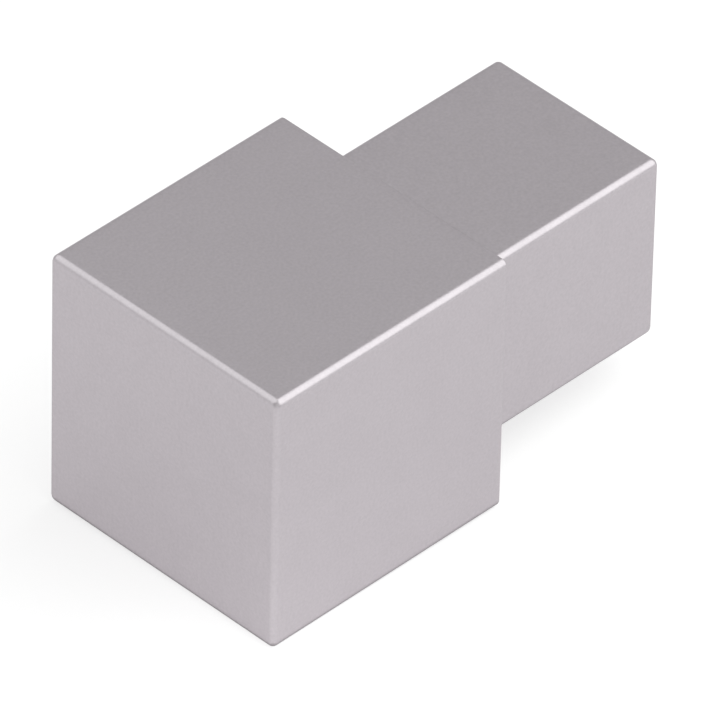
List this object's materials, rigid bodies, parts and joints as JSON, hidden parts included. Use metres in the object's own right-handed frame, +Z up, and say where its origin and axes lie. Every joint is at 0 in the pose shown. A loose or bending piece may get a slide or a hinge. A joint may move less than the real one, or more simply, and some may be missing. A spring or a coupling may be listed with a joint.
{
  "type": "three way corner connector",
  "caption": "Solid cube with softly rounded edges and a square plug on one face, which closes a corner of square hollow profiles.",
  "frame": {"origin": "middle of the shoulder face, on the plug's axis, where the end of the joined profile stops", "axes": "+X out along the plug, +Z up, the cube on the -X side"},
  "size_m": [0.0229, 0.0126, 0.0126],
  "materials": {
    "satin_metal": "fine matt silver, blasted and anodised"
  },
  "bodies": {
    "root": {"corner_connector": "satin_metal"}
  },
  "joints": []
}
